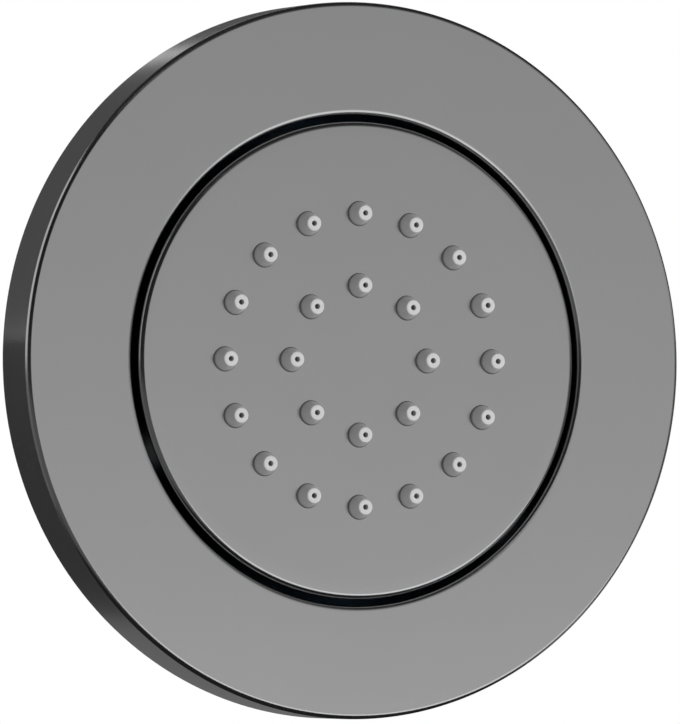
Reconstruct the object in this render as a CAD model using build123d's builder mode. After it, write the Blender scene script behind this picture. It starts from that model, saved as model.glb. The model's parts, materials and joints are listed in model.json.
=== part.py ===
from build123d import *
import os
from math import cos, hypot, radians, sqrt, tan

# A flush shower body jet: a round spray head that tilts and turns on a ball, inside a round
# flange that stands on the wall, with the body and its water inlet recessed behind it.
# Sizes are millimetres. The origin is the flange's centre on the finished wall. Seen from the
# room, +X is right and +Z is up. -Y comes out into the room and +Y goes into the wall.

# Flange, the ring that stands on the wall
flange_projection = 10.6
flange_width = 19.0
flange_front_wall = 2.2
flange_skirt_wall = 3.2
edge_radius = 1.0
lip_depth = 3.0
sleeve_wall = 2.4
sleeve_insertion = 7.0
flange_rib_count = 8
flange_rib_wall = 1.6

# Gasket between the flange and the wall
wall_seal_depth = 3.0
wall_seal_width = 6.0

# Spray head and the groove round it
head_diameter = 80.0
head_gap = 1.0
head_proud = 0.5
tilt_limit = 8.0
sweep_clearance = 0.8

# Face plate, a drawn metal cap
plate_wall = 1.2
plate_skirt_wall = 1.2
plate_depth = 8.0
plate_fit = 0.2

# Nozzles: the diameter of each ring and how many stand on it
outer_ring_diameter = 49.1
outer_ring_count = 16
inner_ring_diameter = 25.0
inner_ring_count = 8
nozzle_base_diameter = 4.1
nozzle_tip_diameter = 2.5
nozzle_reach = 2.6
nozzle_tip_chamfer = 0.2
jet_diameter = 0.9
jet_length = 1.6
nozzle_cavity_diameter = 2.4
nozzle_hole_gap = 0.05

# Silicone mat and the plate that backs it
mat_diameter = 68.0
mat_web = 1.3
retainer_thickness = 1.5
retainer_hole_diameter = 2.8
retainer_fit = 0.3
retainer_ledge = 1.2

# Housing behind the mat
chamber_depth = 3.0
housing_back_wall = 2.0
housing_rib_count = 6
housing_rib_height = 3.0
housing_rib_wall = 1.8
housing_rib_reach = 17.0
bead_height = 0.45
bead_width = 0.8
bead_setback = 1.6
water_gap = 1.5
boss_lip = 1.0
boss_wall = 2.1

# Ball joint
ball_diameter = 16.0
ball_flat_setback = 6.0
waterway_diameter = 12.4
seat_wall = 0.8
seat_fit = 0.1
front_seat_start = 52.0
front_seat_end = 75.0
rear_seat_start = 102.0
rear_seat_end = 116.0
ball_seal_cord = 1.7
nut_thread_diameter = 21.6
nut_thread_length = 4.0
nut_collar_thickness = 2.0
nut_across_flats = 22.0
nut_slack = 0.2
thread_fit = 0.07

# Stem that carries the ball
neck_diameter = 10.5
neck_clearance = 0.4
stem_bore_diameter = 7.0
stem_key_across_flats = 8.0
stem_key_depth = 5.0
stem_reach = 12.0
stem_thread_diameter = 13.16
stem_thread_length = 8.0
spigot_diameter = 11.2
spigot_length = 4.4
spigot_fit = 0.1
stem_end_gap = 0.1

# Inlet body, with a G1/2 socket at the back
inlet_flange_thickness = 3.0
inlet_thread_diameter = 26.0
inlet_thread_relief = 0.3
passage_diameter = 9.0
passage_length = 1.5
regulator_pocket_depth = 3.5
filter_pocket_diameter = 20.0
filter_pocket_depth = 2.5
socket_diameter = 18.64
socket_depth = 12.0
socket_flats = 23.0
socket_flats_length = 9.0
washer_thickness = 1.5
washer_width = 3.8
locknut_across_flats = 36.0
locknut_thickness = 6.0
locknut_chamfer = 1.2

# Flow regulator and inlet filter
regulator_diameter = 13.8
regulator_wall = 1.2
regulator_web = 1.2
regulator_core_diameter = 4.4
regulator_port_diameter = 1.2
regulator_port_count = 8
regulator_port_ring = 8.6
regulator_gap = 0.1
filter_diameter = 18.4
filter_bore_diameter = 12.4
filter_gap = 0.2
screen_thickness = 0.5
screen_hole_diameter = 1.5
screen_hole_pitch = 2.3
screen_ring_count = 2

# Recess cup, the plastic box in the wall
cup_wall = 2.3
cup_floor = 3.0
cup_setback = 0.4
cup_corner_radius = 2.0
cup_hole_fit = 0.2
cup_screw_circle = 66.0
cup_screw_hole_diameter = 5.2
cup_screw_count = 3
cup_rib_count = 6
cup_rib_height = 1.5
cup_rib_wall = 3.0
cup_rib_margin = 3.0
sleeve_fit = 0.2

# Chamfers that lead threads and plugged ends in
thread_lead = 0.8
plug_lead = 0.5

# Round seals
seal_gap = 0.05
flange_seal_cord = 1.3
chamber_seal_cord = 1.2
stem_seal_cord = 1.1
regulator_seal_cord = 2.0

# Radii and places that follow from the sizes above
head_radius = head_diameter / 2
opening_radius = head_radius + head_gap
flange_radius = opening_radius + flange_width
flange_face_y = -flange_projection
head_face_y = flange_face_y - head_proud
plate_in_y = head_face_y + plate_wall
plate_back_y = head_face_y + plate_depth
mat_back_y = plate_in_y + mat_web
retainer_back_y = mat_back_y + retainer_thickness
chamber_back_y = retainer_back_y + chamber_depth
housing_back_y = chamber_back_y + housing_back_wall
nozzle_tip_y = head_face_y - nozzle_reach

plate_in_radius = head_radius - plate_skirt_wall
housing_radius = plate_in_radius - plate_fit
mat_radius = mat_diameter / 2
retainer_radius = mat_radius + retainer_fit
retainer_pocket_radius = retainer_radius + retainer_fit
chamber_radius = retainer_radius - retainer_ledge
chamber_seal_radius = (retainer_pocket_radius + housing_radius) / 2

ball_radius = ball_diameter / 2
waterway_radius = waterway_diameter / 2
seat_in_radius = ball_radius + seat_fit
seat_out_radius = seat_in_radius + seat_wall
pocket_radius = seat_out_radius + seat_fit
boss_front_y = retainer_back_y + water_gap
pocket_front_y = boss_front_y + boss_lip
ball_y = pocket_front_y + sqrt(pocket_radius**2 - waterway_radius**2)
ball_seal_radius = ball_radius + seal_gap + ball_seal_cord / 2
ball_seal_pocket_radius = ball_seal_radius + ball_seal_cord / 2 + seal_gap
ball_seal_half_width = ball_seal_cord / 2 + seal_gap
nut_thread_radius = nut_thread_diameter / 2
nut_bore_radius = nut_thread_radius + thread_fit
nut_front_y = ball_y + ball_seal_half_width + seal_gap
collar_front_y = nut_front_y + nut_thread_length + nut_slack
collar_back_y = collar_front_y + nut_collar_thickness
boss_back_y = collar_front_y - nut_slack
boss_radius = nut_bore_radius + boss_wall
combined_tilt = radians(hypot(tilt_limit, tilt_limit))
neck_radius = neck_diameter / 2
neck_swing = (collar_back_y - ball_y) * tan(combined_tilt)
nut_hole_radius = neck_radius / cos(combined_tilt) + neck_swing + neck_clearance

head_sweep_radius = hypot(head_radius, ball_y - head_face_y - edge_radius)
sleeve_in_radius = head_sweep_radius + sweep_clearance
sleeve_out_radius = sleeve_in_radius + sleeve_wall
skirt_in_radius = flange_radius - flange_skirt_wall
cup_in_radius = sleeve_out_radius + sleeve_fit
cup_out_radius = cup_in_radius + cup_wall
flange_seal_floor = cup_in_radius - flange_seal_cord - 2 * seal_gap
flange_seal_y = (cup_setback + sleeve_insertion) / 2
flange_seal_half_width = flange_seal_cord / 2 + seal_gap
wall_seal_out_radius = skirt_in_radius - seal_gap
wall_seal_in_radius = wall_seal_out_radius - wall_seal_width

stem_thread_radius = stem_thread_diameter / 2
spigot_radius = spigot_diameter / 2
inlet_front_y = ball_y + stem_reach
stem_thread_y = inlet_front_y + inlet_thread_relief
spigot_y = stem_thread_y + stem_thread_length
stem_back_y = spigot_y + spigot_length
seal_bore_radius = spigot_radius + spigot_fit
stem_seal_floor = seal_bore_radius - stem_seal_cord - 2 * seal_gap
stem_seal_y = spigot_y + spigot_length / 2
stem_seal_half_width = stem_seal_cord / 2 + seal_gap
seal_bore_back_y = stem_back_y + stem_end_gap
regulator_front_y = seal_bore_back_y + passage_length
filter_front_y = regulator_front_y + regulator_pocket_depth
socket_front_y = filter_front_y + filter_pocket_depth
inlet_back_y = socket_front_y + socket_depth
inlet_radius = inlet_thread_diameter / 2
inlet_flange_back_y = inlet_front_y + inlet_flange_thickness
cup_floor_front_y = inlet_flange_back_y + washer_thickness
cup_floor_back_y = cup_floor_front_y + cup_floor
cup_hole_radius = inlet_radius + cup_hole_fit
inlet_flange_diameter = 2 * (cup_hole_radius + washer_width)
locknut_back_y = cup_floor_back_y + locknut_thickness
regulator_radius = regulator_diameter / 2
regulator_pocket_radius = regulator_radius + regulator_gap
regulator_thickness = regulator_pocket_depth - regulator_gap
filter_thickness = filter_pocket_depth - filter_gap

cavity_length = mat_back_y - nozzle_tip_y - jet_length
nozzle_rings = ((outer_ring_diameter, outer_ring_count), (inner_ring_diameter, inner_ring_count))


def room_plane(y):
    """A plane across the part at depth y, facing the room, with its own y axis pointing up."""
    return Plane(origin=(0, y, 0), x_dir=(1, 0, 0), z_dir=(0, -1, 0))


def band(inner_radius, outer_radius, front_y, back_y, mode=Mode.ADD):
    """One rectangle of a turned section, from an inner to an outer radius and front to back."""
    with Locations(((inner_radius + outer_radius) / 2, (front_y + back_y) / 2)):
        Rectangle(outer_radius - inner_radius, back_y - front_y, mode=mode)


def nozzle_circles(radius):
    """A circle at every nozzle, with one nozzle of each ring at the top."""
    for ring_diameter, nozzle_count in nozzle_rings:
        with PolarLocations(ring_diameter / 2, nozzle_count, start_angle=90):
            Circle(radius)


def nozzle_cones(y, back_radius, front_radius, height, mode=Mode.ADD):
    """A cone at every nozzle, which narrows from depth y towards the room."""
    for ring_diameter, nozzle_count in nozzle_rings:
        with Locations(room_plane(y)):
            with PolarLocations(ring_diameter / 2, nozzle_count, start_angle=90):
                on_plane = (Align.CENTER, Align.CENTER, Align.MIN)
                Cone(back_radius, front_radius, height, align=on_plane, mode=mode)


def widest_edge(piece, end):
    """The widest round edge at one end of a turned piece: 0 is its front and -1 its back."""
    return piece.edges().filter_by(GeomType.CIRCLE).group_by(Axis.Y)[end].sort_by(SortBy.RADIUS)[-1]


def seal_section(centre_radius, y, cord):
    """The round section of a rubber ring that stands clear of its groove by the seal gap."""
    with Locations((centre_radius, y)):
        Circle(cord / 2)


def seat_section(start_angle, end_angle):
    """A strip of the shell round the ball, between two angles from the front of its axis."""
    with BuildLine() as strip:
        inside = CenterArc((0, ball_y), seat_in_radius, start_angle - 90, end_angle - start_angle)
        outside = CenterArc((0, ball_y), seat_out_radius, start_angle - 90, end_angle - start_angle)
        Line(inside @ 0, outside @ 0)
        Line(inside @ 1, outside @ 1)
    make_face(strip.edges())


# Flange: front ring, skirt to the wall, and a sleeve that plugs into the recess cup
with BuildPart() as flange:
    with BuildSketch(Plane.XY):
        band(opening_radius, flange_radius, flange_face_y, flange_face_y + flange_front_wall)
        band(opening_radius, sleeve_out_radius, flange_face_y, flange_face_y + lip_depth)
        band(sleeve_in_radius, sleeve_out_radius, flange_face_y, sleeve_insertion)
        band(skirt_in_radius, flange_radius, flange_face_y, 0)
        band(
            flange_seal_floor,
            sleeve_out_radius,
            flange_seal_y - flange_seal_half_width,
            flange_seal_y + flange_seal_half_width,
            mode=Mode.SUBTRACT,
        )
    revolve(axis=Axis.Y)
    rib_middle = (sleeve_in_radius + skirt_in_radius) / 2 + sleeve_wall / 2
    rib_length = skirt_in_radius - sleeve_in_radius
    with BuildSketch(room_plane(-wall_seal_depth)):
        with PolarLocations(rib_middle, flange_rib_count):
            Rectangle(rib_length, flange_rib_wall)
    extrude(amount=flange_projection - flange_front_wall - wall_seal_depth)
    fillet(flange.edges().filter_by(GeomType.CIRCLE).group_by(Axis.Y)[0], edge_radius)
    chamfer(widest_edge(flange, -1), plug_lead)

# Rubber ring that seals the flange's sleeve in the cup
with BuildPart() as flange_oring:
    with BuildSketch(Plane.XY):
        flange_seal_radius = flange_seal_floor + seal_gap + flange_seal_cord / 2
        seal_section(flange_seal_radius, flange_seal_y, flange_seal_cord)
    revolve(axis=Axis.Y)

# Foam gasket that lies on the flange's ribs and meets the wall
with BuildPart() as wall_seal:
    with BuildSketch(Plane.XY):
        band(wall_seal_in_radius, wall_seal_out_radius, -wall_seal_depth, 0)
    revolve(axis=Axis.Y)

# Recess cup with anchoring ribs outside, a hole for the inlet and holes for wall screws
with BuildPart() as recess_cup:
    with BuildSketch(Plane.XY):
        band(cup_in_radius, cup_out_radius, cup_setback, cup_floor_back_y)
        band(cup_hole_radius, cup_out_radius, cup_floor_front_y, cup_floor_back_y)
    revolve(axis=Axis.Y)
    fillet(widest_edge(recess_cup, -1), cup_corner_radius)
    with BuildSketch(room_plane(cup_floor_back_y - cup_rib_margin)):
        with PolarLocations(cup_out_radius, cup_rib_count):
            Rectangle(2 * cup_rib_height, cup_rib_wall)
        Circle(cup_out_radius - cup_wall / 2, mode=Mode.SUBTRACT)
    extrude(amount=cup_floor_back_y - cup_setback - 2 * cup_rib_margin)
    with BuildSketch(room_plane(cup_floor_back_y)):
        with PolarLocations(cup_screw_circle / 2, cup_screw_count, start_angle=90):
            Circle(cup_screw_hole_diameter / 2)
    extrude(amount=cup_floor, mode=Mode.SUBTRACT)

# Inlet body: clamped through the cup's floor, stem thread in front and pipe socket behind
with BuildPart() as inlet_body:
    with BuildSketch(Plane.XY):
        band(0, inlet_flange_diameter / 2, inlet_front_y, inlet_flange_back_y)
        band(0, inlet_radius, inlet_front_y, inlet_back_y)
        band(0, stem_thread_radius + thread_fit, inlet_front_y, spigot_y, mode=Mode.SUBTRACT)
        band(0, seal_bore_radius, spigot_y, seal_bore_back_y, mode=Mode.SUBTRACT)
        band(0, passage_diameter / 2, seal_bore_back_y, regulator_front_y, mode=Mode.SUBTRACT)
        band(0, regulator_pocket_radius, regulator_front_y, filter_front_y, mode=Mode.SUBTRACT)
        band(0, filter_pocket_diameter / 2, filter_front_y, socket_front_y, mode=Mode.SUBTRACT)
        band(0, socket_diameter / 2, socket_front_y, inlet_back_y, mode=Mode.SUBTRACT)
    revolve(axis=Axis.Y)
    chamfer(widest_edge(inlet_body, -1), thread_lead)
    with BuildSketch(room_plane(inlet_back_y)):
        Rectangle(inlet_thread_diameter, inlet_thread_diameter)
        Rectangle(inlet_thread_diameter, socket_flats, mode=Mode.SUBTRACT)
    extrude(amount=socket_flats_length, mode=Mode.SUBTRACT)

# Fibre washer between the inlet body's flange and the cup's floor
with BuildPart() as inlet_washer:
    with BuildSketch(Plane.XY):
        band(cup_hole_radius, inlet_flange_diameter / 2, inlet_flange_back_y, cup_floor_front_y)
    revolve(axis=Axis.Y)

# Hexagon nut that clamps the inlet body from behind the cup
with BuildPart() as inlet_locknut:
    with BuildSketch(room_plane(locknut_back_y)):
        RegularPolygon(locknut_across_flats / 2, 6, major_radius=False)
        Circle(inlet_radius + thread_fit, mode=Mode.SUBTRACT)
    extrude(amount=locknut_thickness)
    with BuildSketch(Plane.XY):
        corner_radius = locknut_across_flats / 2 / cos(radians(30))
        with BuildLine():
            Polyline(
                (corner_radius - locknut_chamfer, locknut_back_y),
                (corner_radius + locknut_chamfer, locknut_back_y),
                (corner_radius + locknut_chamfer, locknut_back_y - locknut_chamfer),
                close=True,
            )
        make_face()
    revolve(axis=Axis.Y, mode=Mode.SUBTRACT)

# Flow regulator: a moulded cup with a core and a ring of ports
with BuildPart() as flow_regulator:
    regulator_back_y = regulator_front_y + regulator_thickness
    with BuildSketch(Plane.XY):
        band(0, regulator_radius, regulator_front_y, regulator_front_y + regulator_web)
        band(0, regulator_core_diameter / 2, regulator_front_y, regulator_back_y)
        band(regulator_radius - regulator_wall, regulator_radius, regulator_front_y, regulator_back_y)
    revolve(axis=Axis.Y)
    with BuildSketch(room_plane(regulator_front_y)):
        with PolarLocations(regulator_port_ring / 2, regulator_port_count):
            Circle(regulator_port_diameter / 2)
    extrude(amount=-regulator_web, mode=Mode.SUBTRACT)

# Rubber ring that narrows the regulator's ports as the pressure rises
with BuildPart() as regulator_oring:
    with BuildSketch(Plane.XY):
        regulator_seal_radius = (regulator_core_diameter + regulator_seal_cord) / 2 + seal_gap
        regulator_seal_y = regulator_front_y + regulator_web + seal_gap + regulator_seal_cord / 2
        seal_section(regulator_seal_radius, regulator_seal_y, regulator_seal_cord)
    revolve(axis=Axis.Y)

# Filter washer with a perforated screen across it
with BuildPart() as inlet_filter:
    with BuildSketch(Plane.XY):
        filter_back_y = filter_front_y + filter_thickness
        band(filter_bore_diameter / 2, filter_diameter / 2, filter_front_y, filter_back_y)
        band(0, filter_diameter / 2, filter_back_y - screen_thickness, filter_back_y)
    revolve(axis=Axis.Y)
    with BuildSketch(room_plane(filter_back_y)):
        Circle(screen_hole_diameter / 2)
        for ring in range(1, screen_ring_count + 1):
            with PolarLocations(ring * screen_hole_pitch, 6 * ring):
                Circle(screen_hole_diameter / 2)
    extrude(amount=screen_thickness, mode=Mode.SUBTRACT)

# Stem with the ball at its front, a key socket in the ball and a thread at its back
with BuildPart() as ball_stem:
    ball_front_y = ball_y - ball_flat_setback
    with BuildSketch(Plane.XY):
        with Locations((0, ball_y)):
            Circle(ball_radius)
        band(0, neck_radius, ball_y, stem_thread_y)
        band(0, stem_thread_radius, stem_thread_y, spigot_y)
        band(0, spigot_radius, spigot_y, stem_back_y)
        band(-ball_radius, ball_radius, ball_y - ball_radius, ball_front_y, mode=Mode.SUBTRACT)
        band(-ball_radius, stem_bore_diameter / 2, ball_front_y, stem_back_y, mode=Mode.SUBTRACT)
        band(
            stem_seal_floor,
            spigot_radius,
            stem_seal_y - stem_seal_half_width,
            stem_seal_y + stem_seal_half_width,
            mode=Mode.SUBTRACT,
        )
    revolve(axis=Axis.Y)
    chamfer(widest_edge(ball_stem, -1), plug_lead)
    with BuildSketch(room_plane(ball_front_y)):
        RegularPolygon(stem_key_across_flats / 2, 6, major_radius=False)
    extrude(amount=-stem_key_depth, mode=Mode.SUBTRACT)

# Rubber ring on the stem's spigot
with BuildPart() as stem_oring:
    with BuildSketch(Plane.XY):
        stem_seal_radius = stem_seal_floor + seal_gap + stem_seal_cord / 2
        seal_section(stem_seal_radius, stem_seal_y, stem_seal_cord)
    revolve(axis=Axis.Y)

# Low-friction seats in front of the ball and behind it
with BuildPart() as front_ball_seat:
    with BuildSketch(Plane.XY):
        seat_section(front_seat_start, front_seat_end)
    revolve(axis=Axis.Y)

with BuildPart() as rear_ball_seat:
    with BuildSketch(Plane.XY):
        seat_section(rear_seat_start, rear_seat_end)
    revolve(axis=Axis.Y)

# Rubber ring that seals the ball at its widest
with BuildPart() as ball_seal:
    with BuildSketch(Plane.XY):
        seal_section(ball_seal_radius, ball_y, ball_seal_cord)
    revolve(axis=Axis.Y)

# Nut that holds the ball in the housing, with a hexagon collar
with BuildPart() as ball_nut:
    with BuildSketch(Plane.XY):
        band(nut_hole_radius, nut_thread_radius, nut_front_y, collar_front_y)
        with Locations((0, ball_y)):
            Circle(pocket_radius, mode=Mode.SUBTRACT)
    revolve(axis=Axis.Y)
    chamfer(widest_edge(ball_nut, 0), plug_lead)
    with BuildSketch(room_plane(collar_back_y)):
        RegularPolygon(nut_across_flats / 2, 6, major_radius=False)
        Circle(nut_hole_radius, mode=Mode.SUBTRACT)
    extrude(amount=nut_collar_thickness)

# Housing: water chamber in front, ball pocket in the middle, ribs behind
with BuildPart() as spray_housing:
    housing_front_y = plate_in_y + seal_gap
    chamber_seal_depth = chamber_seal_cord + 2 * seal_gap
    chamber_seal_half_width = chamber_seal_cord / 2 + seal_gap
    with BuildSketch(Plane.XY):
        band(retainer_pocket_radius, housing_radius, housing_front_y, housing_back_y)
        band(chamber_radius, housing_radius, retainer_back_y, housing_back_y)
        band(0, housing_radius, chamber_back_y, housing_back_y)
        band(0, boss_radius, boss_front_y, boss_back_y)
        band(
            housing_radius,
            housing_radius + bead_height,
            plate_back_y - bead_setback - bead_width,
            plate_back_y - bead_setback,
        )
        band(
            chamber_seal_radius - chamber_seal_half_width,
            chamber_seal_radius + chamber_seal_half_width,
            housing_front_y,
            plate_in_y + chamber_seal_depth,
            mode=Mode.SUBTRACT,
        )
        band(0, waterway_radius, boss_front_y, ball_y, mode=Mode.SUBTRACT)
        with Locations((0, ball_y)):
            Circle(pocket_radius, mode=Mode.SUBTRACT)
        band(
            0,
            ball_seal_pocket_radius,
            ball_y - ball_seal_half_width,
            ball_y + ball_seal_half_width,
            mode=Mode.SUBTRACT,
        )
        band(0, nut_bore_radius, ball_y + ball_seal_half_width, boss_back_y, mode=Mode.SUBTRACT)
    revolve(axis=Axis.Y)
    with BuildSketch(room_plane(housing_back_y)):
        with PolarLocations(boss_radius + housing_rib_reach / 2 - boss_wall / 4, housing_rib_count):
            Rectangle(housing_rib_reach + boss_wall / 2, housing_rib_wall)
    extrude(amount=-housing_rib_height)

# Rubber ring that seals the housing against the face plate
with BuildPart() as chamber_oring:
    with BuildSketch(Plane.XY):
        chamber_seal_y = plate_in_y + seal_gap + chamber_seal_cord / 2
        seal_section(chamber_seal_radius, chamber_seal_y, chamber_seal_cord)
    revolve(axis=Axis.Y)

# Plate that backs the silicone mat, with a port at every nozzle
with BuildPart() as mat_retainer:
    with BuildSketch(room_plane(retainer_back_y)):
        Circle(retainer_radius)
        Circle(waterway_radius, mode=Mode.SUBTRACT)
    extrude(amount=retainer_thickness)
    with BuildSketch(room_plane(retainer_back_y)):
        nozzle_circles(retainer_hole_diameter / 2)
    extrude(amount=retainer_thickness, mode=Mode.SUBTRACT)

# Silicone mat: a web behind the face plate with a hollow tapered nozzle at each hole
with BuildPart() as nozzle_mat:
    with BuildSketch(room_plane(mat_back_y)):
        Circle(mat_radius)
    extrude(amount=mat_web)
    with BuildSketch(room_plane(plate_in_y)):
        nozzle_circles(nozzle_base_diameter / 2)
    extrude(amount=plate_wall)
    nozzle_cones(head_face_y, nozzle_base_diameter / 2, nozzle_tip_diameter / 2, nozzle_reach)
    chamfer(nozzle_mat.edges().filter_by(GeomType.CIRCLE).group_by(Axis.Y)[0], nozzle_tip_chamfer)
    with BuildSketch(room_plane(nozzle_tip_y)):
        nozzle_circles(jet_diameter / 2)
    extrude(amount=-jet_length, mode=Mode.SUBTRACT)
    cavity_radius = nozzle_cavity_diameter / 2
    nozzle_cones(mat_back_y, cavity_radius, jet_diameter / 2, cavity_length, mode=Mode.SUBTRACT)

# Face plate: a cap over the housing, pierced for the nozzles and snapped on at its skirt
with BuildPart() as face_plate:
    with BuildSketch(Plane.XY):
        band(0, head_radius, head_face_y, plate_in_y)
        band(plate_in_radius, head_radius, head_face_y, plate_back_y)
        band(
            plate_in_radius,
            housing_radius + bead_height + plate_fit,
            plate_back_y - bead_setback - bead_width - plate_fit,
            plate_back_y - bead_setback + plate_fit,
            mode=Mode.SUBTRACT,
        )
    revolve(axis=Axis.Y)
    fillet(face_plate.edges().filter_by(GeomType.CIRCLE).group_by(Axis.Y)[0], edge_radius)
    with BuildSketch(room_plane(head_face_y)):
        nozzle_circles(nozzle_base_diameter / 2 + nozzle_hole_gap)
    extrude(amount=-plate_wall, mode=Mode.SUBTRACT)

# One STEP file for each piece
pieces = {
    "flange": flange,
    "flange_oring": flange_oring,
    "wall_seal": wall_seal,
    "recess_cup": recess_cup,
    "inlet_body": inlet_body,
    "inlet_washer": inlet_washer,
    "inlet_locknut": inlet_locknut,
    "flow_regulator": flow_regulator,
    "regulator_oring": regulator_oring,
    "inlet_filter": inlet_filter,
    "ball_stem": ball_stem,
    "stem_oring": stem_oring,
    "front_ball_seat": front_ball_seat,
    "rear_ball_seat": rear_ball_seat,
    "ball_seal": ball_seal,
    "ball_nut": ball_nut,
    "spray_housing": spray_housing,
    "chamber_oring": chamber_oring,
    "mat_retainer": mat_retainer,
    "nozzle_mat": nozzle_mat,
    "face_plate": face_plate,
}
os.makedirs("parts", exist_ok=True)
for node_name, piece in pieces.items():
    piece.part.label = node_name
    export_step(piece.part, f"parts/{node_name}.step")
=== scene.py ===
import json
import math

import bmesh
import bpy
from bpy.props import FloatProperty, FloatVectorProperty, IntProperty, PointerProperty
from bpy.types import Operator, Panel, PropertyGroup
from mathutils import Matrix, Vector


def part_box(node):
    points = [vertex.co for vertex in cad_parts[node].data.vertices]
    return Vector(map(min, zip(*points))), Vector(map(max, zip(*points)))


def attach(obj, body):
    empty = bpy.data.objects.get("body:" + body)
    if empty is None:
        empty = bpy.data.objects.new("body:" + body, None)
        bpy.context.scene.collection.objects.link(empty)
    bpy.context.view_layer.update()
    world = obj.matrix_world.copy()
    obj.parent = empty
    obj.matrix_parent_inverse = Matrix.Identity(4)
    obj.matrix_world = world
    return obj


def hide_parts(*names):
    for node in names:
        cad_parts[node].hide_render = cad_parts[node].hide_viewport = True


bl_info = {
    "name": "Shower Body Jet",
    "version": (1, 0, 0),
    "blender": (4, 5, 0),
    "location": "View3D > Sidebar > Body Jet",
    "description": "Dresses the solids of a wall body jet in finished surfaces and lights them",
    "category": "Object",
}

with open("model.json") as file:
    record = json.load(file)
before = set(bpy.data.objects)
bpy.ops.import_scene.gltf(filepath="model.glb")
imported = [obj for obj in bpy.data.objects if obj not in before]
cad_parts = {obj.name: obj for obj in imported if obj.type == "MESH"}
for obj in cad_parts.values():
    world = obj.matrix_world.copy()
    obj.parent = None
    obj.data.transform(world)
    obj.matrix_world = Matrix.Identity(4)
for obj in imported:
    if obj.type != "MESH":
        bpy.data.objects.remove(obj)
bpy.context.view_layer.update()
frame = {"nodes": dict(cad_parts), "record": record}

# The jet's axis is Y: -Y comes out into the room and +Y goes into the wall. Lengths are metres.
MM = 0.001
AXIS = (0, 1, 0)
ORIGIN = (0, 0, 0)

# How near corners count as one place, as one corner and as on a cutting plane
NEAR = 0.02 * MM
MERGE = 0.002 * MM
ON_PLANE = 0.0002 * MM

# Faces round a full turn, across a flange rib and round a corner of a section
RIM_STEPS = 288
FITTING_STEPS = 120
NOZZLE_STEPS = 40
RIB_STEPS = 2
ROUND_SEGMENTS = 6
HEXAGON_SIDES = 6

# A depth behind the wall's face where the flange has only its sleeve
BEHIND_WALL = 1 * MM

# Edges bent by more than the angle stay sharp, and large faces lead the shading of their edges
SHARP_ANGLE = math.radians(35)
LARGE_FACE_WEIGHT = 100

# One turn of a pipe thread: heights at even steps along its pitch
THREAD_FORM = (0, 0, 0.25, 0.75, 1, 1, 0.75, 0.25)
# Turns that are wound in front of a thread, and beyond its length in all, and then cut off
LEAD_TURNS = 2
SPARE_TURNS = 3

# Materials that two pieces share
GUNMETAL = "satin_gunmetal"
BRASS = "turned_brass"

# The part of its range that noise mostly fills
NOISE_LOW, NOISE_HIGH = 0.3, 0.7

# Grained finishes: size of the broad unevenness and depth of the relief, both in grains, spread of the gloss,
# and share of the fine and the broad noise in the colour
BROAD_GRAINS = 60
GRAIN_DEPTH = 0.1
GLOSS_SPREAD = 0.02
EVEN_SHARE = 0.5
# Grain size, contrast of its colour and strength of its relief
GUNMETAL_GRAIN = (0.25 * MM, 0.012, 0.04)
CUP_GRAIN = (0.3 * MM, 0.06, 0.15)
# Finishes of the solids that show as they are, by material slot:
# colour, roughness, grain size, contrast of its colour and strength of its relief
PLAIN_FINISHES = {
    "black_plastic": ((0.045, 0.045, 0.05), 0.45, 0.2 * MM, 0.12, 0.15),
    "grey_plastic": ((0.33, 0.34, 0.35), 0.45, 0.2 * MM, 0.06, 0.12),
    "blue_plastic": ((0.10, 0.28, 0.52), 0.4, 0.2 * MM, 0.08, 0.1),
    "black_rubber": ((0.03, 0.03, 0.03), 0.6, 0.15 * MM, 0.2, 0.2),
    "fibre": ((0.42, 0.12, 0.08), 0.8, 0.3 * MM, 0.25, 0.5),
    "low_friction": ((0.80, 0.79, 0.74), 0.35, 0.4 * MM, 0.03, 0.05),
}

# Silicone: grain, contrasts, range of roughness, strength and depth of the relief
SILICONE_GRAIN = 0.3 * MM
SILICONE_CONTRAST = 0.06
TIP_CONTRAST = 0.03
SILICONE_ROUGHNESS = (0.5, 0.6)
SILICONE_RELIEF = (0.08, 0.03 * MM)
# Where the painted highlight on a tip's rim begins and ends, as shares of its rounding
HIGHLIGHT_START, HIGHLIGHT_END = 0.8, 0.2

# Turned metal: spacing of the lathe's lines, how they wander and their detail on sides and ends,
# strength and depth of their relief
BRASS_FEED = 0.15 * MM
NICKEL_FEED = 0.12 * MM
LATHE_WANDER = 1.5
SIDE_DETAIL, END_DETAIL = 1.0, 2.0
LATHE_RELIEF = (0.12, 0.02 * MM)
# Broad patches on turned metal: size, detail and how far they change its shade and roughness
PATCH_SIZE = 6 * MM
PATCH_DETAIL = 3.0
PATCH_SHADES = (0.9, 1.08)
PATCH_ROUGHNESS = (0.85, 1.2)

# Foam: size and shades of its cells, range of roughness, strength and depth of the relief
FOAM_CELL = 0.5 * MM
FOAM_DARK, FOAM_PALE = (0.05, 0.05, 0.053, 1), (0.095, 0.095, 0.1, 1)
FOAM_ROUGHNESS = (0.8, 0.95)
FOAM_RELIEF = (0.5, 0.2 * MM)

# Lamps: azimuth and elevation in degrees, distance and size
KEY_LAMP = (35, 0, 2.0, 1.4)
REAR_LAMP = (205, 40, 1.4, 0.9)
# Faces of a card, up and along, and sides of the floor
CARD_ROWS, CARD_COLUMNS = 24, 48
FLOOR_STEPS = 96
# The range of distances that the camera sees
CLIP_NEAR, CLIP_FAR = 0.01, 20


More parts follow.
